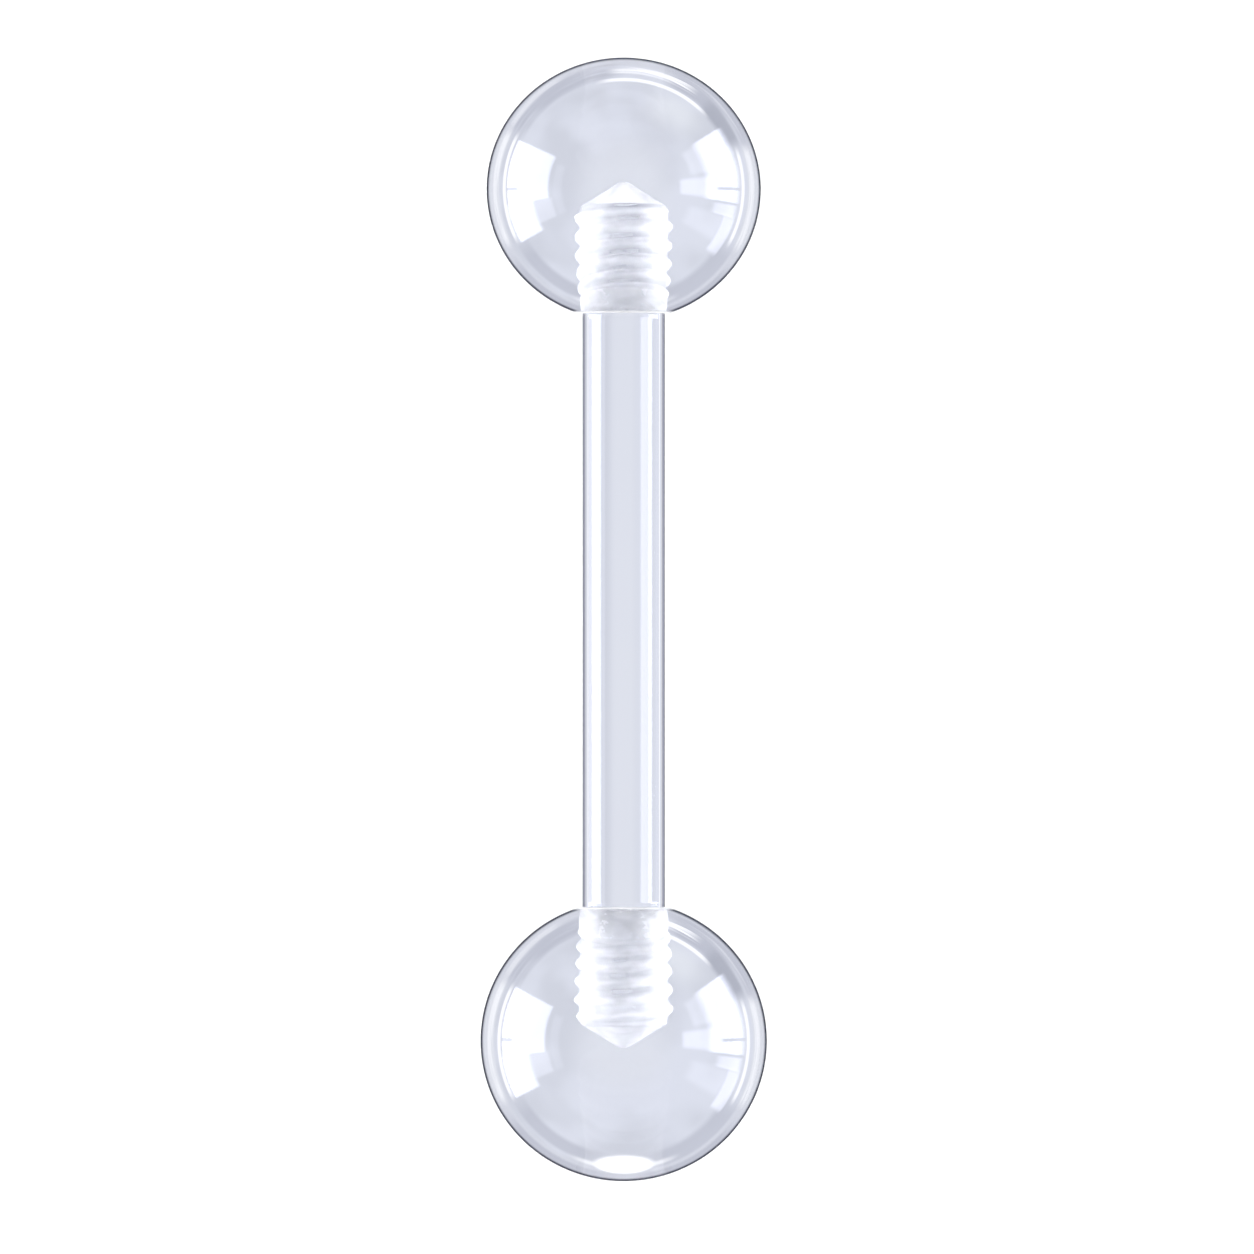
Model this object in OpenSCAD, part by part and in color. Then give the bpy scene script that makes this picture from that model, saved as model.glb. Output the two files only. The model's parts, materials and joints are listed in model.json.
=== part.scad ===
// Clear straight barbell: a smooth bar with a threaded stud at each end and a ball screwed onto each stud.
// It lies on its two balls, with the upper ball towards +Y and the ground at z = 0.

/* [Bar] */
// Diameter of the smooth bar, 14 gauge
bar_d = 1.63; // [1.45:0.01:2.2]
// Length of the smooth bar between its two shoulders
bar_len = 12; // [6:0.5:24]
// Width of the bevel round each shoulder
shoulder_bevel = 0.03; // [0.02:0.01:0.08]

/* [Studs] */
// Diameter over the crests of the bar's thread
crest_d = 1.25; // [1.2:0.01:1.36]
// Diameter at the roots of the bar's thread
root_d = 1.12; // [1:0.01:1.16]
// Advance of the right-hand thread in one turn
pitch = 0.25; // [0.2:0.01:0.32]
// Direction from the axis in which a crest meets the shoulder
thread_start = 180; // [0:5:355]
// Length of each stud beyond its shoulder
stud_len = 2.02; // [1.4:0.02:2.04]
// Length of the plain neck between a shoulder and its thread
neck_len = 0.6; // [0.1:0.02:0.8]
// Width of the bevel on each stud's end
stud_bevel = 0.12; // [0.05:0.01:0.2]

/* [Upper ball] */
// Width of the upper ball across the bar
upper_ball_d = 5.44; // [4.6:0.02:8]
// Height of the upper ball along the bar
upper_ball_h = 5.22; // [4.6:0.02:8]
// Depth of the upper ball's threaded hole, from its pocket to its drill point
upper_hole_depth = 2.12; // [2.05:0.01:2.5]
// Depth of the tapered mouth of the upper ball's hole, before its thread
upper_mouth_len = 0.76; // [0.06:0.02:1.2]

/* [Lower ball] */
// Width of the lower ball across the bar
lower_ball_d = 5.68; // [4.6:0.02:8]
// Height of the lower ball along the bar
lower_ball_h = 5.57; // [4.6:0.02:8]
// Depth of the lower ball's threaded hole, from its pocket to its drill point
lower_hole_depth = 2.3; // [2.05:0.01:2.5]
// Depth of the tapered mouth of the lower ball's hole, before its thread
lower_mouth_len = 0.92; // [0.06:0.02:1.2]

/* [Seats] */
// Depth of the round pocket that takes the bar's end, below the ball's surface
pocket_depth = 0.15; // [0.1:0.01:0.4]
// How much wider each hole's mouth is at its pocket than at its thread, on the radius
mouth_flare = 0.1; // [0.02:0.01:0.14]
// Included angle of the drill point at the bottom of each hole
drill_point = 118; // [90:1:140]

/* [Clearances] */
// Play between the bar and the wall of a pocket
pocket_play = 0.03; // [0.02:0.01:0.08]
// Gap between a shoulder and the floor of its pocket
seat_gap = 0.02; // [0.01:0.01:0.06]
// Play between the bar's thread and a ball's thread, on the radius
thread_play = 0.035; // [0.02:0.005:0.05]

/* [Hidden] */
$fn = 96;

// One pitch of the thread: how far along the pitch each corner lies, and its share of the thread's height
ALONG = 0;
SHARE = 1;
thread_form = [
    [0.12, 1],
    [0.36, 0],
    [0.64, 0],
    [0.88, 1],
];
form_rows = len(thread_form);
turn_steps = 20;

// The thread fades in and out over half a turn
runout = pitch / 2;
// Rows closer than this to an end of the thread are that end
same_place = 0.002;
// Depth to which a form reaches into the one that it joins or cuts
embed = pocket_depth / 2;

hole_crest_r = crest_d / 2 + thread_play;
hole_root_r = root_d / 2 + thread_play;
pocket_r = bar_d / 2 + pocket_play;

// Height of a ball's centre above the circle in which its surface meets the bar
function chord(d, h) = h / 2 * sqrt(1 - pow(bar_d / d, 2));

// Height of a ball's centre above the shoulder that carries it
function centre_rise(d, h) = seat_gap - pocket_depth + chord(d, h);

upper_rise = centre_rise(upper_ball_d, upper_ball_h);
lower_rise = centre_rise(lower_ball_d, lower_ball_h);

// The balls differ in width, so the bar slopes a little when both of them touch the ground
ball_spacing = bar_len + upper_rise + lower_rise;
rest_slope = asin((lower_ball_d - upper_ball_d) / 2 / ball_spacing);
rest_z = lower_ball_d / 2 - (bar_len / 2 + lower_rise) * sin(rest_slope);

// How far a sloping ball reaches from its centre along the ground
function reach(d, h) = sqrt(pow(h / 2 * cos(rest_slope), 2) + pow(d / 2 * sin(rest_slope), 2));

upper_end_y = (bar_len / 2 + upper_rise) * cos(rest_slope) + reach(upper_ball_d, upper_ball_h);
lower_end_y = (bar_len / 2 + lower_rise) * cos(rest_slope) + reach(lower_ball_d, lower_ball_h);
rest_y = (lower_end_y - upper_end_y) / 2;

// The bar's axis is Z until this lays the whole barbell on the ground
module at_rest() {
    translate([0, rest_y, rest_z])
        rotate([-90 - rest_slope, 0, 0])
            children();
}

// Frames whose origin is the middle of a shoulder, with +Z out of the bar
module at_upper_shoulder() {
    translate([0, 0, bar_len / 2])
        children();
}

module at_lower_shoulder() {
    translate([0, 0, -bar_len / 2])
        rotate([180, 0, 0])
            children();
}

function within_one(share) = min(1, max(0, share));
function mix(a, b, share) = a + (b - a) * share;

// A threaded form is a column of points for each direction: rings below, thread rows, rings above.
// Each ring is [height, radius]. The rows climb one pitch in a turn, so a column's last neighbour
// is the first column, one turn of rows higher up.
function below(form) = form[0];
function above(form) = form[1];
function form_root_r(form) = form[2];
function form_crest_r(form) = form[3];
function first_share(form) = form[4];
function thread_foot(form) = below(form)[len(below(form)) - 1][0];
function thread_top(form) = above(form)[0][0];
function first_turn(form) = floor(thread_foot(form) / pitch) - 1;
function row_count(form) = form_rows * (ceil(thread_top(form) / pitch) - first_turn(form)) + 1;
function column_size(form) = len(below(form)) + row_count(form) + len(above(form));

function row_z(form, column, row) =
    pitch * (first_turn(form) + column / turn_steps
        + floor(row / form_rows) + thread_form[row % form_rows][ALONG]);

function row_r(form, column, row) =
    let (z = row_z(form, column, row))
    let (lead = within_one((z - thread_foot(form)) / runout))
    let (tail = within_one((thread_top(form) - z) / runout))
    let (share = mix(first_share(form), thread_form[row % form_rows][SHARE], lead) * tail)
    mix(form_root_r(form), form_crest_r(form), share);

function at(column, r, z) =
    let (angle = thread_start + 360 * column / turn_steps)
    [r * cos(angle), r * sin(angle), z];

function form_points(form) = [
    for (column = [0 : turn_steps - 1])
        each concat(
            [for (ring = below(form)) at(column, ring[1], ring[0])],
            [for (row = [0 : row_count(form) - 1])
                at(column, row_r(form, column, row), row_z(form, column, row))],
            [for (ring = above(form)) at(column, ring[1], ring[0])]
        )
];

function ring_point(form, column, place) = (column % turn_steps) * column_size(form) + place;

// The point for a thread row, or the ring at the end of the thread if the row lies past it
function row_point(form, column, row) =
    column == turn_steps ? row_point(form, 0, row + form_rows)
    : row >= row_count(form) || row_z(form, column, row) > thread_top(form) - same_place
        ? ring_point(form, column, len(below(form)) + row_count(form))
    : row_z(form, column, row) < thread_foot(form) + same_place
        ? ring_point(form, column, len(below(form)) - 1)
    : ring_point(form, column, len(below(form)) + row);

// Two triangles between four corners, without those that have no width
function triangles(a, b, c, d) = [
    for (t = [[a, d, c], [a, c, b]])
        if (t[0] != t[1] && t[1] != t[2] && t[2] != t[0]) t
];

function ring_band(form, place) = [
    for (column = [0 : turn_steps - 1])
        each triangles(
            ring_point(form, column, place),
            ring_point(form, column + 1, place),
            ring_point(form, column + 1, place + 1),
            ring_point(form, column, place + 1)
        )
];

function thread_band(form, row) = [
    for (column = [0 : turn_steps - 1])
        each triangles(
            row_point(form, column, row),
            row_point(form, column + 1, row),
            row_point(form, column + 1, row + 1),
            row_point(form, column, row + 1)
        )
];

module threaded_form(form) {
    first_above = len(below(form)) + row_count(form);
    last = column_size(form) - 1;
    foot_face = [for (column = [0 : turn_steps - 1]) ring_point(form, column, 0)];
    top_face = [for (column = [turn_steps - 1 : -1 : 0]) ring_point(form, column, last)];
    polyhedron(
        points = form_points(form),
        faces = concat(
            [foot_face],
            [for (place = [0 : 1 : len(below(form)) - 2]) each ring_band(form, place)],
            [for (row = [0 : row_count(form) - 2]) each thread_band(form, row)],
            [for (place = [first_above : 1 : last - 1]) each ring_band(form, place)],
            [top_face]
        )
    );
}

// The bar's stud: a plain neck, the thread and a bevelled end
module stud() {
    root_r = root_d / 2;
    threaded_form([
        [[-embed, root_r], [neck_len, root_r]],
        [[stud_len - stud_bevel, root_r], [stud_len, root_r - stud_bevel]],
        root_r,
        crest_d / 2,
        0,
    ]);
}

// The space cut for a stud: a tapered mouth, the thread and the drill point, which ends in a tiny flat
module stud_hole(hole_depth, mouth_len) {
    tip_r = 0.02;
    point_len = (hole_root_r - tip_r) / tan(drill_point / 2);
    bottom = seat_gap + hole_depth;
    mouth_r = hole_crest_r + mouth_flare;
    threaded_form([
        [[seat_gap - embed, mouth_r], [seat_gap, mouth_r], [seat_gap + mouth_len, hole_crest_r]],
        [[bottom, hole_root_r], [bottom + point_len, tip_r]],
        hole_root_r,
        hole_crest_r,
        1,
    ]);
}

// A ball on its shoulder, with the pocket for the bar's end and the threaded hole below it
module ball(d, h, hole_depth, mouth_len) {
    difference() {
        translate([0, 0, centre_rise(d, h)])
            scale([1, 1, h / d])
                sphere(d = d);
        translate([0, 0, seat_gap - 2 * pocket_depth])
            cylinder(h = 2 * pocket_depth, r = pocket_r);
        stud_hole(hole_depth, mouth_len);
    }
}

// The smooth bar, whose ends are the shoulders
module shaft() {
    bar_r = bar_d / 2;
    rotate_extrude()
        polygon([
            [0, -bar_len / 2],
            [bar_r - shoulder_bevel, -bar_len / 2],
            [bar_r, shoulder_bevel - bar_len / 2],
            [bar_r, bar_len / 2 - shoulder_bevel],
            [bar_r - shoulder_bevel, bar_len / 2],
            [0, bar_len / 2],
        ]);
}

module bar() {
    color([0.90, 0.92, 0.96])
        at_rest() {
            shaft();
            at_upper_shoulder() stud();
            at_lower_shoulder() stud();
        }
}

module upper_ball() {
    color([0.86, 0.88, 0.93])
        at_rest()
            at_upper_shoulder()
                ball(upper_ball_d, upper_ball_h, upper_hole_depth, upper_mouth_len);
}

module lower_ball() {
    color([0.84, 0.86, 0.92])
        at_rest()
            at_lower_shoulder()
                ball(lower_ball_d, lower_ball_h, lower_hole_depth, lower_mouth_len);
}

bar();
upper_ball();
lower_ball();
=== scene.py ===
"""A clear acrylic barbell on a pale floor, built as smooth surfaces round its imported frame."""

import json
import math

import bpy
import numpy as np
from bpy.props import FloatProperty, FloatVectorProperty, IntProperty, PointerProperty
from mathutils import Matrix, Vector


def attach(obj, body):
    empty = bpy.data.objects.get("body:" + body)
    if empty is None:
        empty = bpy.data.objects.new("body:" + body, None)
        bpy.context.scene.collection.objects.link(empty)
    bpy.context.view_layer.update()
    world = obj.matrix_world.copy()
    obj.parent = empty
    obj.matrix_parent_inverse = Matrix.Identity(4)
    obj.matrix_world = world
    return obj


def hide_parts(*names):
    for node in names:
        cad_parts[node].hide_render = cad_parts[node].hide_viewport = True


bl_info = {
    "name": "Clear Barbell",
    "version": (1, 0, 0),
    "blender": (4, 5, 0),
    "location": "3D View > Sidebar > Barbell",
    "description": "Builds a clear acrylic barbell with two screwed balls, and a pale studio",
    "category": "Add Mesh",
}

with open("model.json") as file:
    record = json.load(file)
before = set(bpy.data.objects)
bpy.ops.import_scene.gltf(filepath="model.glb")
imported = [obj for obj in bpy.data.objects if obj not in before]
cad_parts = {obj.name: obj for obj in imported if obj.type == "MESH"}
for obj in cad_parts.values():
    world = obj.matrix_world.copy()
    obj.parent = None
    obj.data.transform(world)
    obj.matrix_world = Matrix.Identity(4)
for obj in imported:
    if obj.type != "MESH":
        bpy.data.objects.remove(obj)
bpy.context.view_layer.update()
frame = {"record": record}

MM = 0.001
SHAFT = next(mount for mount in frame["record"]["mounts"] if mount["name"] == "shaft")
AXIS = Vector(SHAFT["axis"]).normalized()
MIDDLE = Vector(SHAFT["pos_m"])
BAR_R = SHAFT["dims"]["r_mm"] * MM
SHOULDER_BEVEL = 0.03 * MM
BAR_LENGTH = SHAFT["dims"]["length_mm"] * MM + 2 * SHOULDER_BEVEL

# Places in the photograph, in pixels of its square frame
PHOTO_SIDE = 1254
PHOTO_PX_PER_MM = 50.4
PHOTO_AXIS_X = 623.7
PHOTO_MIDDLE_Y = 619.3

# How much a surface is cut, from polished at 0 to drilled at 1
CUT_POCKET = 0.95
CUT_MOUTH = 0.7
CUT_ROOT = 0.3
CUT_CREST = 0.8
CUT_DRILLED = 0.74
# How much clearer the crests are above and below the axis than at its sides: painted side light
CREST_PAINTED_SIDE_LIGHT = 0.3
# How much a stud is cut, as a share of the same place in a hole
STUD_CUT = 0.25
# How much clearer a drill point is above and below the axis than at its sides: painted side light
DRILLED_CLEAR = 0.25
# Least share of the way from a root's cut to a crest's at the sides of the axis: painted side
# light
SIDE_CUT = 0.25
# Sizes of the cosine of an angle round the axis between which the painted side light comes in
SIDE_FROM, SIDE_TO = 0.1, 0.75
# Width of the matt ring on a ball round its pocket, as seen from the ball's centre
LIP_ANGLE = math.radians(3.5)

# Half the width of a crest and the width of a flank, as shares of the pitch
CREST_HALF, FLANK = 0.03, 0.38
# Heights of a hole's thread at its mouth and its drilled end, as shares of the thread's height
MOUTH_SHARE, DRILLED_SHARE = 0.8, -0.4
# Radius of the blunt tip of a drill point
CHISEL_R = 0.05 * MM

# Rows of points over a ball's outside, along the smooth bar and along a taper in a hole
BALL_ROWS, BAR_ROWS, TAPER_ROWS = 112, 64, 12
# Points closer than this are one point
SAME_PLACE = 1e-8

# Sizes of the lower ball in millimetres. The upper ball has the default ones.
LOWER_BALL = {"width": 5.68, "height": 5.57, "hole_depth": 2.3, "mouth_length": 0.92}

ACRYLIC_IOR = 1.49
# Shares of turning away between which the painted shade at a polished surface's outline comes in
BAR_PAINTED_EDGE, BALL_PAINTED_EDGE = (0.54, 0.69), (0.78, 0.87)

FLOOR_HALF = 2.0
SENSOR = 36.0


def length(name, description, millimetres):
    """A length that a user can change, in metres with a default given in millimetres."""
    return FloatProperty(
        name=name,
        description=description,
        default=millimetres * MM,
        min=0.0,
        precision=6,
        subtype="DISTANCE",
        unit="LENGTH",
    )


def share(name, description, default):
    """A number from 0 to 1 that a user can change."""
    return FloatProperty(
        name=name, description=description, default=default, min=0.0, max=1.0, subtype="FACTOR"
    )


def colour(name, description, default):
    """A colour that a user can change."""
    return FloatVectorProperty(
        name=name,
        description=description,
        default=default,
        size=3,
        min=0.0,
        max=1.0,
        subtype="COLOR",
    )


class BarbellSizes(bpy.types.PropertyGroup):
    """Sizes of the bar, its threads and the seats in the balls"""

    bar_r: length("Bar radius", "Radius of the smooth bar", BAR_R / MM)
    bar_length: length("Bar length", "Length between the two shoulders", BAR_LENGTH / MM)
    shoulder_bevel: length(
        "Shoulder bevel", "Width of the bevel round each shoulder", SHOULDER_BEVEL / MM
    )
    crest_r: length("Crest radius", "Radius over the crests of the bar's thread", 0.625)
    root_r: length("Root radius", "Radius at the roots of the bar's thread", 0.56)
    pitch: length("Pitch", "Advance of the right-hand thread in one turn", 0.25)
    stud_length: length("Stud length", "Length of each stud beyond its shoulder", 2.02)
    neck_length: length("Neck length", "Length of the plain neck below the thread", 0.6)
    stud_bevel: length("Stud bevel", "Width of the bevel on each stud's end", 0.12)
    pocket_depth: length("Pocket depth", "Depth of the pocket for the bar's end", 0.15)
    pocket_play: length("Pocket play", "Play between the bar and a pocket's wall", 0.03)
    mouth_flare: length(
        "Mouth flare", "How much wider a hole's mouth is at its pocket, on the radius", 0.1
    )
    seat_gap: length("Seat gap", "Gap between a shoulder and its pocket's floor", 0.02)
    thread_play: length("Thread play", "Play between the two threads, on the radius", 0.035)
    edge_round: length("Edge rounding", "Length of the rounding at small edges", 0.02)
    lip_round: length("Lip rounding", "Length of the rounding at a ball's mouth", 0.05)
    drill_point: FloatProperty(
        name="Drill point",
        description="Included angle of the drill point in each hole",
        default=math.radians(118),
        subtype="ANGLE",
        unit="ROTATION",
    )
    thread_start: FloatProperty(
        name="Thread start",
        description="Direction in which a crest meets the shoulder",
        default=math.pi,
        subtype="ANGLE",
        unit="ROTATION",
    )
    columns: IntProperty(
        name="Columns", description="Steps round each surface", default=192, min=24
    )
    thread_rows: IntProperty(
        name="Thread rows", description="Steps along one pitch", default=16, min=6
    )


class BarbellBall(bpy.types.PropertyGroup):
    """Sizes of one ball"""

    width: length("Width", "Width across the bar", 5.44)
    height: length("Height", "Height along the bar", 5.22)
    hole_depth: length("Hole depth", "Depth of the threaded hole to its drill point", 2.12)
    mouth_length: length("Mouth length", "Depth of the hole's tapered mouth", 0.76)


class BarbellFinish(bpy.types.PropertyGroup):
    """Colour and polish of the clear acrylic"""

    tint: colour("Tint", "Colour that the acrylic passes", (0.992, 0.994, 1.0))
    deep_tint: colour("Deep tint", "Colour of the acrylic's faint clouds", (0.975, 0.98, 0.995))
    # Painted shade: a dark colour that the acrylic takes where its surface turns away, as a dark
    # outline
    painted_edge_shade: colour(
        "Edge tint", "Colour that passes where the surface turns away", (0.11, 0.115, 0.16)
    )
    polish: share("Polish", "Roughness of the polished outer surfaces", 0.012)
    wear: share("Wear", "Extra roughness where the polish is rubbed", 0.02)
    cut: share("Cut", "Roughness of the tapped and drilled surfaces", 0.2)
    frost: share("Frost", "How white the cut surfaces look", 0.85)


class BarbellStudio(bpy.types.PropertyGroup):
    """The floor, the light and the camera"""

    floor: colour("Floor", "Colour of the floor", (0.93, 0.93, 0.93))
    below: colour("Below", "What the clear acrylic shows from below it", (0.655, 0.68, 0.765))
    daylight: FloatProperty(
        name="Daylight", description="Brightness of the soft light", default=1.7
    )
    window: FloatProperty(
        name="Window", description="Brightness of the side windows", default=9.0
    )
    side_light: FloatProperty(
        name="Side light",
        description="Brightness of the light that the cut surfaces catch",
        default=19.0,
    )
    camera_height: length("Camera height", "Height of the camera above the bar", 600.0)


def register_settings():
    """Gives every scene the settings of the barbell and its studio."""
    scene = bpy.types.Scene
    scene.barbell_sizes = PointerProperty(type=BarbellSizes)
    scene.barbell_upper = PointerProperty(type=BarbellBall)
    scene.barbell_lower = PointerProperty(type=BarbellBall)
    scene.barbell_finish = PointerProperty(type=BarbellFinish)
    scene.barbell_studio = PointerProperty(type=BarbellStudio)


# Surfaces


def rounded_path(corners, steps=5):
    """A path of straight runs through [radius, height, rounding] corners.

    Each corner with a rounding is replaced by a quadratic curve that starts and ends that far
    from it.
    """
    corners = np.asarray(corners, float)
    places, rounding = corners[:, :2], corners[:, 2]
    parts = []
    for i, (place, reach) in enumerate(zip(places, rounding)):
        if reach == 0:
            parts.append(place[None])
            continue
        before, after = places[i - 1] - place, places[i + 1] - place
        start = place + before * reach / np.linalg.norm(before)
        end = place + after * reach / np.linalg.norm(after)
        t = np.linspace(0, 1, steps)[:, None]
        parts.append((1 - t) ** 2 * start + 2 * t * (1 - t) * place + t**2 * end)
    return np.concatenate(parts)


def ease(x):
    """Rises smoothly from 0 to 1: three times the square less twice the cube, held outside."""
    x = np.clip(x, 0, 1)
    return x * x * (3 - 2 * x)


def turned(path, sizes):
    """A path of [radius, height] turned about the axis, as rows of points for one closed turn."""
    angle = np.linspace(0, 2 * math.pi, sizes.columns + 1)
    radius, height = path[:, :1], path[:, 1:]
    return np.stack(
        np.broadcast_arrays(radius * np.cos(angle), radius * np.sin(angle), height), axis=-1
    )


def even_cut(path, cut, sizes):
    """The same cut for every point of a turned path."""
    return np.full((len(path), sizes.columns + 1), float(cut))


def painted_side_light(sizes):
    """For each column, 0 where it lies above or below the axis and 1 at its sides: painted side
    light.

    The size of the cosine of the column's angle, taken through a soft step.
    """
    across = np.abs(np.cos(np.linspace(0, 2 * math.pi, sizes.columns + 1)))
    return ease((across - SIDE_FROM) / (SIDE_TO - SIDE_FROM))


def threaded(foot, top, root_r, crest_r, first_share, last_share, sizes):
    """A right-hand thread between two heights.

    Each row climbs one pitch in a turn. Across the pitch the radius goes smoothly from crest to
    root and back. Over its first half turn the thread grows out of first_share of its height, and
    over its last half turn it turns into last_share of it. Rows past an end lie on that end.
    Returns the grid and how much each point is cut, which follows the radius and is less above and
    below the axis than at its sides, as painted side light.
    """
    pitch, steps = sizes.pitch, sizes.thread_rows
    start = sizes.thread_start / (2 * math.pi)
    first_turn = math.floor(foot / pitch + start) - 1
    rows = steps * math.ceil(top / pitch + start - first_turn) + 1
    row = np.arange(rows)[:, None]
    column = np.arange(sizes.columns + 1)[None]
    height = pitch * (first_turn - start + column / sizes.columns + row / steps)
    from_crest = np.abs((row / steps + 0.5) % 1 - 0.5)
    form = 1 - ease((from_crest - CREST_HALF) / FLANK)
    form = first_share + (form - first_share) * np.clip((height - foot) / pitch * 2, 0, 1)
    form = last_share + (form - last_share) * np.clip((top - height) / pitch * 2, 0, 1)
    radius = root_r + (crest_r - root_r) * form
    height = np.clip(height, foot, top)
    angle = 2 * math.pi * column / sizes.columns
    grid = np.stack(
        np.broadcast_arrays(radius * np.cos(angle), radius * np.sin(angle), height), axis=-1
    )
    side = painted_side_light(sizes)
    # Cut surfaces are really matt; being whiter at the sides of the axis than above and below it
    # is painted side light
    clearing = 1 - CREST_PAINTED_SIDE_LIGHT * (1 - side)
    from_root = np.maximum(np.sqrt(np.clip(form, 0, 1)) * clearing, SIDE_CUT * side)
    return grid, CUT_ROOT + (CUT_CREST - CUT_ROOT) * from_root


def ball_form(ball, sizes):
    """A ball's surface from its far pole over the outside, round the lip and down its hole.

    The outside is an ellipse turned about the axis. Returns the grid and how much each point is
    cut.
    """
    chord = ball.height / 2 * math.sqrt(1 - (2 * sizes.bar_r / ball.width) ** 2)
    centre = sizes.seat_gap - sizes.pocket_depth + chord
    pocket_r = sizes.bar_r + sizes.pocket_play
    crest_r = sizes.crest_r + sizes.thread_play
    root_r = sizes.root_r + sizes.thread_play
    foot = sizes.seat_gap + ball.mouth_length
    bottom = sizes.seat_gap + ball.hole_depth
    mouth_r = crest_r + sizes.mouth_flare
    drilled_r = root_r + (crest_r - root_r) * DRILLED_SHARE
    point = bottom + (drilled_r - CHISEL_R) / math.tan(sizes.drill_point / 2)
    side = painted_side_light(sizes)

    lip = math.pi - math.asin(2 * pocket_r / ball.width)
    t = np.linspace(0, lip - 2 * sizes.lip_round / ball.width, BALL_ROWS)
    outside = np.stack([ball.width / 2 * np.sin(t), centre + ball.height / 2 * np.cos(t)], axis=1)
    lip_z = centre + ball.height / 2 * math.cos(lip)
    edge = sizes.edge_round
    mouth = rounded_path([
        [*outside[-1], 0],
        [pocket_r, lip_z, sizes.lip_round],
        [pocket_r, sizes.seat_gap, edge],
        [mouth_r, sizes.seat_gap, edge],
        [root_r + (crest_r - root_r) * MOUTH_SHARE, foot, 0],
    ], steps=7)[1:]
    mouth = np.concatenate([mouth[:-2], np.linspace(mouth[-2], mouth[-1], TAPER_ROWS)])
    pocket = 1 - ease((mouth[:, 1:] - sizes.seat_gap) / sizes.pocket_depth / 2)
    drilled = rounded_path([
        [drilled_r, bottom, 0],
        [CHISEL_R, point, edge * 2],
        [0, point, 0],
    ])
    drilled = np.concatenate([np.linspace(drilled[0], drilled[1], TAPER_ROWS), drilled[2:]])
    thread, thread_cut = threaded(
        foot, bottom, root_r, crest_r, MOUTH_SHARE, DRILLED_SHARE, sizes
    )
    grid = np.concatenate([
        turned(outside, sizes), turned(mouth, sizes), thread, turned(drilled, sizes)
    ])
    cut = np.concatenate([
        even_cut(outside, 0, sizes) + CUT_POCKET * ease((t[:, None] - t[-1]) / LIP_ANGLE + 1),
        # Painted side light: the mouth and the drill point are whiter at their sides than above
        # and below the axis
        CUT_MOUTH + (CUT_POCKET - CUT_MOUTH) * np.maximum(pocket, side),
        thread_cut,
        even_cut(drilled, CUT_DRILLED, sizes) * (1 - DRILLED_CLEAR * (1 - side)),
    ])
    return grid, cut


def stud_form(sizes):
    """A stud's surface from the middle of its end to the edge of its shoulder.

    Returns the grid and how much each point is cut.
    """
    top = sizes.stud_length - sizes.stud_bevel
    edge = sizes.edge_round
    end = rounded_path([
        [0, sizes.stud_length, 0],
        [sizes.root_r - sizes.stud_bevel, sizes.stud_length, edge],
        [sizes.root_r, top, 0],
    ])
    shoulder = rounded_path([
        [sizes.root_r, sizes.neck_length, 0],
        [sizes.root_r, 0, edge * 2],
        [sizes.bar_r - sizes.shoulder_bevel, 0, edge / 2],
        [sizes.bar_r, -sizes.shoulder_bevel, 0],
    ])
    thread, thread_cut = threaded(
        sizes.neck_length, top, sizes.root_r, sizes.crest_r, 0, 0, sizes
    )
    grid = np.concatenate([turned(end, sizes), thread[::-1], turned(shoulder, sizes)])
    cut = np.concatenate([
        even_cut(end, CUT_CREST, sizes), thread_cut[::-1], even_cut(shoulder, CUT_MOUTH, sizes)
    ])
    return grid, STUD_CUT * cut


def shaft_form(sizes):
    """The smooth bar between its two shoulder bevels, a cylinder that isn't cut anywhere."""
    reach = sizes.bar_length / 2 - sizes.shoulder_bevel
    height = np.linspace(reach, -reach, BAR_ROWS)
    path = np.stack([np.full_like(height, sizes.bar_r), height], axis=1)
    return turned(path, sizes), even_cut(path, 0, sizes)


def laid(grid, along, out):
    """Points moved into place from a frame that is this far along the bar's axis.

    The frame's first axis is X, its third is out, and its second is square to both.
    """
    first = Vector((1, 0, 0))
    second = out.cross(first)
    turn = np.array([first, second, out])
    return grid @ turn + (np.array(MIDDLE) + along * np.array(AXIS))


def grid_triangles(rows, columns):
    """Two triangles for each cell of a grid of points, facing along row step cross column step."""
    a = (np.arange(rows - 1)[:, None] * columns + np.arange(columns - 1)[None]).ravel()
    b, c, d = a + columns, a + columns + 1, a + 1
    return np.concatenate([np.stack([a, b, c], axis=1), np.stack([a, c, d], axis=1)])


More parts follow.
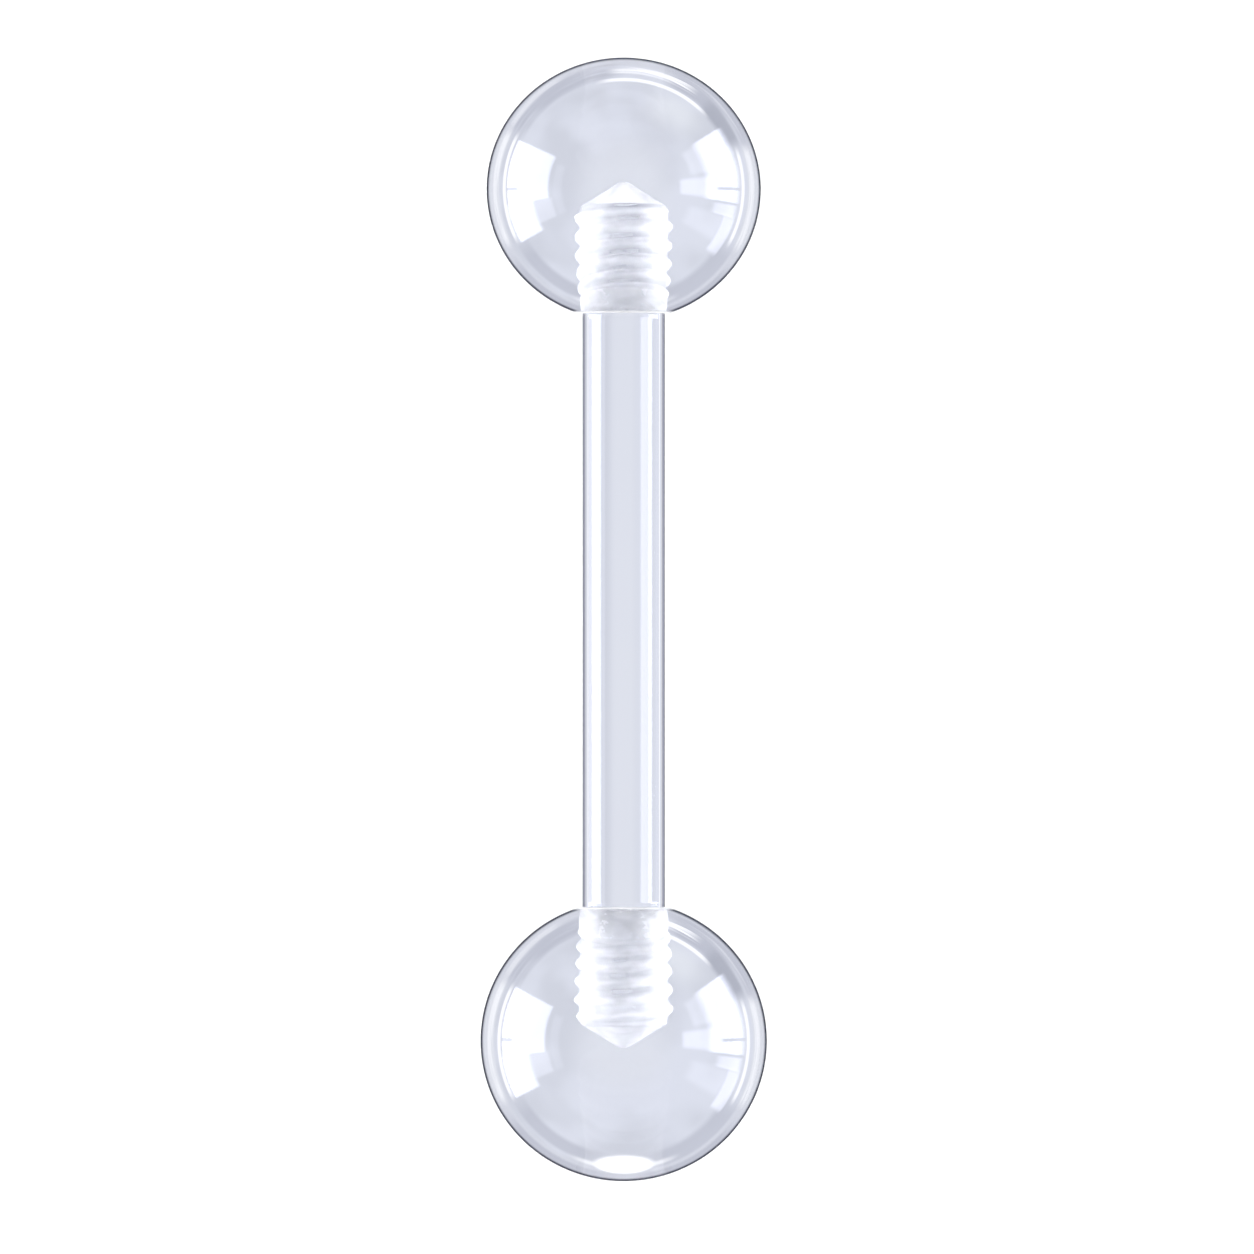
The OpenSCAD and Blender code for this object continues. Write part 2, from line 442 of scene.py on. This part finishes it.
def make_piece(name, node, patches):
    """One closed mesh from grids that meet, in place of a node.

    Points at one place are joined, and triangles left without an area are dropped.
    """
    points, cuts, triangles, first = [], [], [], 0
    for grid, cut in patches:
        rows, columns = grid.shape[:2]
        points.append(grid.reshape(-1, 3))
        cuts.append(cut.ravel())
        triangles.append(grid_triangles(rows, columns) + first)
        first += rows * columns
    points, cuts, triangles = map(np.concatenate, (points, cuts, triangles))
    places = np.round(points / SAME_PLACE).astype(np.int64)
    _, kept, joined = np.unique(places, axis=0, return_index=True, return_inverse=True)
    triangles = joined.reshape(-1)[triangles]
    a, b, c = triangles.T
    triangles = triangles[(a != b) & (b != c) & (c != a)]

    mesh = bpy.data.meshes.new(name)
    mesh.vertices.add(len(kept))
    mesh.vertices.foreach_set("co", points[kept].ravel())
    mesh.loops.add(triangles.size)
    mesh.loops.foreach_set("vertex_index", triangles.ravel())
    mesh.polygons.add(len(triangles))
    mesh.polygons.foreach_set("loop_start", np.arange(0, triangles.size, 3))
    mesh.polygons.foreach_set("use_smooth", np.ones(len(triangles), bool))
    mesh.attributes.new("cut", "FLOAT", "POINT").data.foreach_set("value", cuts[kept])
    mesh.update(calc_edges=True)
    if mesh.validate():
        raise RuntimeError(f"{name}: the mesh had faults")
    piece = bpy.data.objects.new(name, mesh)
    bpy.context.scene.collection.objects.link(piece)
    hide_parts(node)
    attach(piece, node)
    return piece


# Shader expressions


class Value:
    """A shader value. The usual operators on it add Math nodes to its tree."""

    def __init__(self, shader, socket):
        self.shader = shader
        self.socket = socket

    def math(self, operation, *inputs):
        """What a Math node makes of its inputs."""
        node = self.shader.add("ShaderNodeMath", {"operation": operation}, dict(enumerate(inputs)))
        return Value(self.shader, node.outputs[0])

    def __add__(self, other):
        return self.math("ADD", self, other)

    def __sub__(self, other):
        return self.math("SUBTRACT", self, other)

    def __rsub__(self, other):
        return self.math("SUBTRACT", other, self)

    def __mul__(self, other):
        return self.math("MULTIPLY", self, other)

    def __truediv__(self, other):
        return self.math("DIVIDE", self, other)

    __radd__ = __add__
    __rmul__ = __mul__

    def between(self, low, high):
        """Rises smoothly from 0 at low to 1 at high, or falls if low is the greater."""
        flipped = low > high
        node = self.shader.add(
            "ShaderNodeMapRange",
            {"interpolation_type": "SMOOTHSTEP"},
            {
                "Value": self,
                "From Min": min(low, high),
                "From Max": max(low, high),
                "To Min": 1.0 if flipped else 0.0,
                "To Max": 0.0 if flipped else 1.0,
            },
        )
        return Value(self.shader, node.outputs[0])

    def band(self, low, high, soft):
        """1 from low to high, with soft edges centred on both."""
        half = soft / 2
        return self.between(low - half, low + half) * self.between(high + half, high - half)


class Shader:
    """Writes one node tree."""

    def __init__(self, tree):
        self.tree = tree
        tree.nodes.clear()

    def add(self, kind, settings=None, inputs=None):
        """A node of a kind, with its settings and its sockets' values or links."""
        node = self.tree.nodes.new(kind)
        for name, setting in (settings or {}).items():
            setattr(node, name, setting)
        for key, given in (inputs or {}).items():
            socket = node.inputs[key]
            if isinstance(given, Value):
                given = given.socket
            if isinstance(given, bpy.types.NodeSocket):
                self.tree.links.new(given, socket)
            else:
                socket.default_value = given
        return node

    def value(self, kind, settings=None, inputs=None, output=0):
        """One output of a new node, as a value."""
        return Value(self, self.add(kind, settings, inputs).outputs[output])

    def mix(self, factor, first, second):
        """A colour between two colours or colour sockets."""
        first, second = ((*c, 1.0) if isinstance(c, tuple) else c for c in (first, second))
        node = self.add(
            "ShaderNodeMix", {"data_type": "RGBA"}, {"Factor": factor, 6: first, 7: second}
        )
        return node.outputs[2]

    def noise(self, place, scale, detail=3.0, roughness=0.5):
        """Soft noise from 0 to 1 at a place, with this many cells to one unit of it."""
        return self.value(
            "ShaderNodeTexNoise",
            {},
            {"Vector": place, "Scale": scale, "Detail": detail, "Roughness": roughness},
            "Fac",
        )


def clear_acrylic(name, finish, edge):
    """Polished clear acrylic, with faint clouds and rubbed spots, and white where it is cut.

    Edge is the pair of shares of turning away between which a painted dark outline comes in:
    painted shade mixed into the base colour. Fine tooling and coarser chips make the white of the
    cut surfaces uneven.
    """
    material = bpy.data.materials.new(name)
    material.use_nodes = True
    shader = Shader(material.node_tree)
    place = shader.add("ShaderNodeTexCoord").outputs["Object"]
    cut = shader.value("ShaderNodeAttribute", {"attribute_name": "cut"}, {}, "Fac")
    clouds = shader.noise(place, 260.0, 2.0)
    rubbed = shader.noise(place, 900.0, 4.0, 0.6).between(0.52, 0.75)
    tooling = shader.noise(place, 6000.0, 3.0, 0.6)
    chips = shader.noise(place, 2400.0, 1.0).between(0.4, 0.62)
    polished = cut.between(0.3, 0.05)
    # Painted shade: a polished surface's base colour darkens where it turns away, as a dark
    # outline
    facing = shader.value("ShaderNodeLayerWeight", {}, {"Blend": 0.5}, "Facing")
    away = facing.between(*edge) * polished
    tint = shader.mix(clouds.between(0.35, 0.7), tuple(finish.tint), tuple(finish.deep_tint))
    tint = shader.mix(away, tint, tuple(finish.painted_edge_shade))
    roughness = finish.polish + rubbed * finish.wear + cut * (finish.cut + tooling * finish.cut)
    height = shader.noise(place, 420.0, 1.0) + tooling * cut * 0.1
    bump = shader.add(
        "ShaderNodeBump", {}, {"Height": height, "Strength": 0.25, "Distance": 0.002 * MM}
    )
    surface = shader.add(
        "ShaderNodeBsdfPrincipled",
        {},
        {
            "Base Color": tint,
            "Roughness": roughness,
            "IOR": ACRYLIC_IOR,
            "Transmission Weight": 1.0,
            "Normal": bump.outputs[0],
        },
    )
    frost = shader.add(
        "ShaderNodeBsdfPrincipled",
        {},
        {"Base Color": (0.95, 0.955, 0.98, 1.0), "Roughness": 0.6, "IOR": ACRYLIC_IOR},
    )
    whiteness = cut * finish.frost * (0.72 + 0.25 * chips + 0.3 * tooling)
    mixed = shader.add(
        "ShaderNodeMixShader", {}, {0: whiteness, 1: surface.outputs[0], 2: frost.outputs[0]}
    )
    shader.add("ShaderNodeOutputMaterial", {}, {"Surface": mixed.outputs[0]})
    return material


def pale_floor(studio):
    """Smooth pale studio paper."""
    material = bpy.data.materials.new("pale_floor")
    material.use_nodes = True
    shader = Shader(material.node_tree)
    place = shader.add("ShaderNodeTexCoord").outputs["Object"]
    grain = shader.noise(place, 400.0, 3.0)
    tone = tuple(studio.floor)
    paler = tuple(min(1.0, c + 0.02) for c in tone)
    surface = shader.add(
        "ShaderNodeBsdfPrincipled",
        {},
        {
            "Base Color": shader.mix(grain, tone, paler),
            "Roughness": 0.9,
            "Specular IOR Level": 0.0,
        },
    )
    shader.add("ShaderNodeOutputMaterial", {}, {"Surface": surface.outputs[0]})
    return material


def studio_world(studio):
    """The studio round the barbell.

    The camera and diffuse surfaces see even white. Reflections show windows at each side. What
    the acrylic bends towards the camera is a lavender grey from below, with brighter and darker
    patches towards the horizon. Light that has bounced off a cut surface also meets a side light
    and a little light from overhead, which polished acrylic doesn't show. Angles are in degrees,
    from the nadir or the zenith, and round from one of the four sides.
    """
    world = bpy.data.worlds.new("studio")
    world.use_nodes = True
    world.cycles.sampling_method = "NONE"
    shader = Shader(world.node_tree)
    way = shader.add("ShaderNodeTexCoord").outputs["Generated"]
    parts = shader.add("ShaderNodeSeparateXYZ", {}, {0: way}).outputs
    x, y, z = (Value(shader, part) for part in parts)
    degrees = 180 / math.pi
    from_above = z.math("ARCCOSINE", z) * degrees
    from_below = 180 - from_above

    def round_from(centre):
        """Angle round the vertical from a direction, positive anticlockwise seen from above."""
        c, s = math.cos(math.radians(centre)), math.sin(math.radians(centre))
        return x.math("ARCTAN2", y * c - x * s, x * c + y * s) * degrees

    round_right, round_up, round_left, round_down = map(round_from, (0, 90, 180, 270))
    clouds = shader.noise(way, 2.2, 2.0)
    flat = x.math("POWER", x * x + y * y, 0.5) + 0.0001
    streak_place = shader.add(
        "ShaderNodeCombineXYZ", {}, {0: x / flat * 1.6, 1: y / flat * 1.6, 2: from_below * 0.3}
    ).outputs[0]
    streaks = shader.noise(streak_place, 1.0, 2.0)
    uneven = streaks.between(0.3, 0.55)
    part_uneven = 0.4 + 0.6 * uneven

    path = shader.add("ShaderNodeLightPath").outputs
    lit = Value(shader, path["Diffuse Depth"]).between(0, 1)
    below = tuple(studio.below)
    white, glare = (1.15, 1.16, 1.2), (1.45, 1.45, 1.45)
    bright, pale = (0.83, 0.86, 0.92), (0.72, 0.74, 0.82)
    mid, dark, darkest = (0.52, 0.54, 0.63), (0.42, 0.44, 0.52), (0.27, 0.29, 0.38)
    seen = shader.mix(clouds.between(0.38, 0.62), below, tuple(1.15 * c for c in below))
    sides = round_right.band(-26, 26, 8) + round_left.band(-28, 18, 8)
    lens_out, lens_along = (from_below - 51) / 10.5, round_up / 15
    lens = lens_out * lens_out + lens_along * lens_along
    layers = (
        # The middle and the outer ring
        ((0.76, 0.785, 0.865), from_below.between(18, 6)),
        (pale, from_below.between(53, 60)),
        (bright, from_below.band(25, 38, 12) * round_down.band(-48, -18, 24) * 0.7),
        # Grey arcs and the streaks between them
        (mid, from_below.band(44, 60, 5) * round_down.band(4, 46, 14) * part_uneven),
        (mid, from_below.band(41, 51, 4) * round_right.band(32, 76, 14) * 0.8),
        (mid, from_below.band(60, 84, 6) * round_right.band(36, 82, 14)),
        (mid, from_below.band(42, 57, 5) * round_left.band(-76, -30, 14) * 0.8),
        (mid, from_below.band(62, 84, 6) * round_left.band(-82, -40, 14)),
        (mid, from_below.band(44, 58, 5) * round_right.band(-66, -28, 12) * part_uneven),
        (white, from_below.band(58, 66, 3) * round_right.band(-60, -30, 8) * 0.35),
        (mid, from_below.band(44, 58, 5) * round_left.band(36, 66, 10)),
        (dark, from_below.band(42, 55, 5) * round_left.band(22, 46, 8)),
        (mid, from_below.band(58, 80, 8) * round_left.band(18, 70, 20) * uneven),
        (white, from_below.band(48, 56, 3) * round_down.band(-34, 5, 10) * uneven),
        (white, from_below.band(41, 43.5, 1.5) * round_down.band(-45, 10, 12)),
        # The glare at the foot of the lower ball
        (glare, lens.between(1.1, 0.4)),
        (white, from_below.band(50, 54, 4) * round_up.band(-22, 22, 12) * 0.7),
        # The two sides
        ((0.84, 0.86, 0.92), from_below.between(53, 58) * sides),
        (white, from_below.band(48, 51, 1.5) * sides),
        (white, from_below.band(57, 65, 3) * sides * uneven * 0.7),
        # The horizon and above it
        (darkest, from_below.between(76, 88)),
        (tuple(0.95 * c for c in below), from_below.between(94, 100)),
    )
    for tone, mask in layers:
        seen = shader.mix(mask, seen, tone)
    beside = round_right.band(-34, 34, 20) + round_left.band(-34, 34, 20)
    beside = from_above.band(76, 100, 8) * beside * lit
    seen = shader.mix(beside, seen, (1.0, 1.0, 1.0))
    overhead = from_above.between(70, 40) * lit * 0.2

    left_slit = from_above.between(99, 104) * round_left.band(-1.1, 0.5, 0.3) * 0.7
    right_slit = from_above.between(84, 90) * round_right.band(-0.5, 1.1, 0.3) * 0.85
    windows = (
        from_above.band(67, 116, 4) * round_left.band(-27, 8, 2) * (1 - left_slit)
        + from_above.band(84, 117, 6) * round_left.band(8, 29, 2)
        + from_above.band(64, 84, 4) * round_left.band(8, 24, 3) * 0.35
        + from_above.band(54, 62, 4) * round_left.band(-22, 24, 5) * 0.15
        + from_above.band(76, 112, 14) * round_right.band(-7.5, 35, 1.5) * (1 - right_slit)
        + from_above.band(49, 82, 5) * round_right.band(-6, 9, 5) * 0.55
        + from_above.band(60, 84, 6) * round_right.band(12, 33, 5) * 0.3
        + from_above.band(84, 112, 10) * round_right.band(-16, -9, 1.5) * 0.5
        + from_above.band(60, 99, 10) * round_right.band(-32, -16, 6) * 0.2
        + from_above.band(99, 114, 4) * round_right.band(-38, -16, 4) * 0.45
    )
    soft = (0.45 + from_above.between(95, 130) * 0.25) * from_above.between(165, 155)
    mirrored = soft + windows * studio.window

    through = Value(shader, path["Is Transmission Ray"])
    diffuse = Value(shader, path["Is Diffuse Ray"])
    camera = Value(shader, path["Is Camera Ray"])
    plain_rays = diffuse + camera
    plain = shader.add(
        "ShaderNodeBackground",
        {},
        {
            "Color": shader.mix(plain_rays, (0.86, 0.88, 1.0), (1.0, 1.0, 1.0)),
            "Strength": plain_rays * studio.daylight + (1 - through) * (1 - plain_rays) * mirrored,
        },
    )
    strength = through * (1 + beside * studio.side_light + overhead)
    bent = shader.add("ShaderNodeBackground", {}, {"Color": seen, "Strength": strength})
    both = shader.add("ShaderNodeAddShader", {}, {0: plain.outputs[0], 1: bent.outputs[0]})
    shader.add("ShaderNodeOutputWorld", {}, {"Surface": both.outputs[0]})
    return world


# Operators


class BARBELL_OT_make_bar(bpy.types.Operator):
    """Make the bar with its two threaded studs"""

    bl_idname = "barbell.make_bar"
    bl_label = "Make the bar"

    def execute(self, context):
        sizes = context.scene.barbell_sizes
        half = sizes.bar_length / 2
        stud, stud_cut = stud_form(sizes)
        shaft, shaft_cut = shaft_form(sizes)
        bar = make_piece("clear_bar", "bar", [
            (laid(stud, half, AXIS), stud_cut),
            (laid(shaft, 0, AXIS), shaft_cut),
            (laid(stud, -half, -AXIS), stud_cut),
        ])
        finish = context.scene.barbell_finish
        bar.data.materials.append(clear_acrylic("clear_acrylic_bar", finish, BAR_PAINTED_EDGE))
        return {"FINISHED"}


class BARBELL_OT_make_balls(bpy.types.Operator):
    """Make the two balls, each screwed onto its stud"""

    bl_idname = "barbell.make_balls"
    bl_label = "Make the balls"

    def execute(self, context):
        scene = context.scene
        sizes = scene.barbell_sizes
        acrylic = clear_acrylic("clear_acrylic_ball", scene.barbell_finish, BALL_PAINTED_EDGE)
        half = sizes.bar_length / 2
        for node, ball, shoulder, out in (
            ("upper_ball", scene.barbell_upper, half, AXIS),
            ("lower_ball", scene.barbell_lower, -half, -AXIS),
        ):
            grid, cut = ball_form(ball, sizes)
            piece = make_piece("clear_" + node, node, [(laid(grid, shoulder, out), cut)])
            piece.data.materials.append(acrylic)
        return {"FINISHED"}


class BARBELL_OT_set_studio(bpy.types.Operator):
    """Lay the floor, light the studio and point the camera"""

    bl_idname = "barbell.set_studio"
    bl_label = "Set the studio"

    def execute(self, context):
        scene = context.scene
        studio = scene.barbell_studio
        scene.world = studio_world(studio)
        self.lay_floor(scene, studio)
        self.point_camera(scene, studio)
        scene.view_settings.view_transform = "Standard"
        scene.cycles.max_bounces = 12
        scene.cycles.transmission_bounces = 12
        scene.cycles.glossy_bounces = 4
        scene.cycles.sample_clamp_indirect = 25.0
        return {"FINISHED"}

    @staticmethod
    def lay_floor(scene, studio):
        """A flat square of paper that reflections and clear acrylic don't show."""
        mesh = bpy.data.meshes.new("floor")
        turns = ((-1, -1), (1, -1), (1, 1), (-1, 1))
        corners = [(x * FLOOR_HALF, y * FLOOR_HALF, 0) for x, y in turns]
        mesh.from_pydata(corners, [], [(0, 1, 2, 3)])
        floor = bpy.data.objects.new("floor", mesh)
        scene.collection.objects.link(floor)
        floor.data.materials.append(pale_floor(studio))
        floor.visible_glossy = False
        floor.visible_transmission = False

    @staticmethod
    def point_camera(scene, studio):
        """A camera straight above the bar, which sees it where the photograph does."""
        frame_width = PHOTO_SIDE / PHOTO_PX_PER_MM * MM
        data = bpy.data.cameras.new("camera")
        data.sensor_width = SENSOR
        data.lens = SENSOR * studio.camera_height / frame_width
        data.clip_end = 10.0
        camera = bpy.data.objects.new("camera", data)
        centre = PHOTO_SIDE / 2
        x = (centre - PHOTO_AXIS_X) / PHOTO_PX_PER_MM * MM
        y = (PHOTO_MIDDLE_Y - centre) / PHOTO_PX_PER_MM * MM
        camera.location = (x, y, MIDDLE.z + studio.camera_height)
        scene.collection.objects.link(camera)
        scene.camera = camera


class BARBELL_PT_panel(bpy.types.Panel):
    """Lists the barbell's pieces and its studio"""

    bl_label = "Barbell"
    bl_idname = "BARBELL_PT_panel"
    bl_space_type = "VIEW_3D"
    bl_region_type = "UI"
    bl_category = "Barbell"

    def draw(self, context):
        scene = context.scene
        layout = self.layout
        for group in (
            scene.barbell_sizes,
            scene.barbell_upper,
            scene.barbell_lower,
            scene.barbell_finish,
            scene.barbell_studio,
        ):
            box = layout.box()
            for name in group.__annotations__:
                box.prop(group, name)
        for operator in OPERATORS:
            layout.operator(operator.bl_idname)


OPERATORS = (BARBELL_OT_make_bar, BARBELL_OT_make_balls, BARBELL_OT_set_studio)
CLASSES = (
    BarbellSizes,
    BarbellBall,
    BarbellFinish,
    BarbellStudio,
    *OPERATORS,
    BARBELL_PT_panel,
)


def register():
    for cls in CLASSES:
        bpy.utils.register_class(cls)
    register_settings()


def unregister():
    scene = bpy.types.Scene
    del scene.barbell_sizes, scene.barbell_upper, scene.barbell_lower
    del scene.barbell_finish, scene.barbell_studio
    for cls in reversed(CLASSES):
        bpy.utils.unregister_class(cls)


def main():
    """Registers the add-on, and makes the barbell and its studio."""
    register()
    lower = bpy.context.scene.barbell_lower
    for name, millimetres in LOWER_BALL.items():
        setattr(lower, name, millimetres * MM)
    bpy.ops.barbell.make_bar()
    bpy.ops.barbell.make_balls()
    bpy.ops.barbell.set_studio()


if __name__ == "__main__":
    main()
